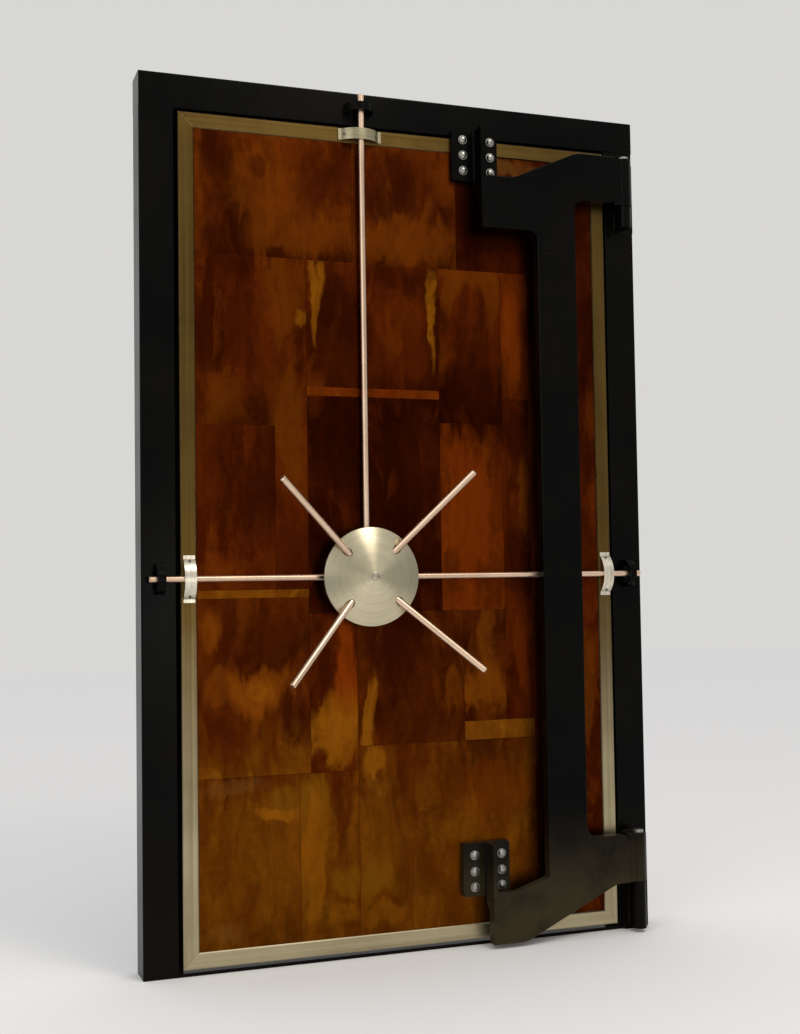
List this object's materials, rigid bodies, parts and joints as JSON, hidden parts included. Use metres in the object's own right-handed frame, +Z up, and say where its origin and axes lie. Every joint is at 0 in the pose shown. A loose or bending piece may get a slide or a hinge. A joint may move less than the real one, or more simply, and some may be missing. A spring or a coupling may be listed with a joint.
{
  "type": "vault door",
  "caption": "Tall vault door: copper-clad leaf on a crane hinge in a black steel frame, with a spoked domed hub that draws locking rods.",
  "frame": {"origin": "centre of the threshold's underside, midway through the frame's depth", "axes": "+X to the hinge side as seen from the room, +Y out through the wall away from the room, +Z up"},
  "size_m": [1.608, 0.3118, 2.6],
  "materials": {
    "black_paint": "gloss",
    "brushed_stainless": "brushed",
    "machined_steel": "machined",
    "patinated_copper": "patinated"
  },
  "bodies": {
    "frame": {"jamb_left": "black_paint", "jamb_right": "black_paint", "header": "black_paint", "threshold": "black_paint", "stop_left": "black_paint", "stop_right": "black_paint", "stop_head": "black_paint", "keeper_left": "black_paint", "keeper_right": "black_paint", "keeper_top": "black_paint", "hinge_plate_bottom": "black_paint", "hinge_plate_top": "black_paint", "hinge_post_bottom": "black_paint", "hinge_post_top": "black_paint", "hinge_pin_bottom": "machined_steel", "hinge_pin_top": "machined_steel"},
    "door": {"leaf_core": "black_paint", "back_panel": "black_paint", "cladding": "patinated_copper", "border_left": "brushed_stainless", "border_right": "brushed_stainless", "border_top": "brushed_stainless", "border_bottom": "brushed_stainless", "guide_left": "brushed_stainless", "guide_right": "brushed_stainless", "guide_top": "brushed_stainless", "bracket_bottom": "black_paint", "bracket_top": "black_paint", "arm_bottom": "black_paint", "arm_top": "black_paint", "column": "black_paint", "knuckle_bottom": "black_paint", "knuckle_top": "black_paint", "hub_boss": "machined_steel", "bearing_ring": "machined_steel"},
    "wheel": {"dome": "brushed_stainless", "spindle": "machined_steel", "hub_block": "machined_steel", "cam_plate": "machined_steel", "spoke_ne": "brushed_stainless", "spoke_nw": "brushed_stainless", "spoke_sw": "brushed_stainless", "spoke_se": "brushed_stainless"},
    "rod_left": {"rod_left": "brushed_stainless"},
    "rod_right": {"rod_right": "brushed_stainless"},
    "rod_top": {"rod_top": "brushed_stainless"}
  },
  "joints": [
    {"name": "door_swing", "type": "hinge", "parent": "frame", "child": "door", "pos_m": [0.745, -0.103, 0], "axis": [0, 0, 1], "range_deg": [0, 100]},
    {"name": "hub_turn", "type": "hinge", "parent": "door", "child": "wheel", "pos_m": [-0.137, -0.131, 1.126], "axis": [0, -1, 0], "range_deg": [0, 90]},
    {"name": "rod_left_slide", "type": "slide", "parent": "door", "child": "rod_left", "axis": [1, 0, 0], "range_m": [0, 0.072]},
    {"name": "rod_right_slide", "type": "slide", "parent": "door", "child": "rod_right", "axis": [-1, 0, 0], "range_m": [0, 0.072]},
    {"name": "rod_top_slide", "type": "slide", "parent": "door", "child": "rod_top", "axis": [0, 0, -1], "range_m": [0, 0.072]}
  ],
  "couplings": [
    {"joint": "rod_left_slide", "follows": "hub_turn", "m_per_rad": 0.04583},
    {"joint": "rod_right_slide", "follows": "hub_turn", "m_per_rad": 0.04583},
    {"joint": "rod_top_slide", "follows": "hub_turn", "m_per_rad": 0.04583}
  ]
}
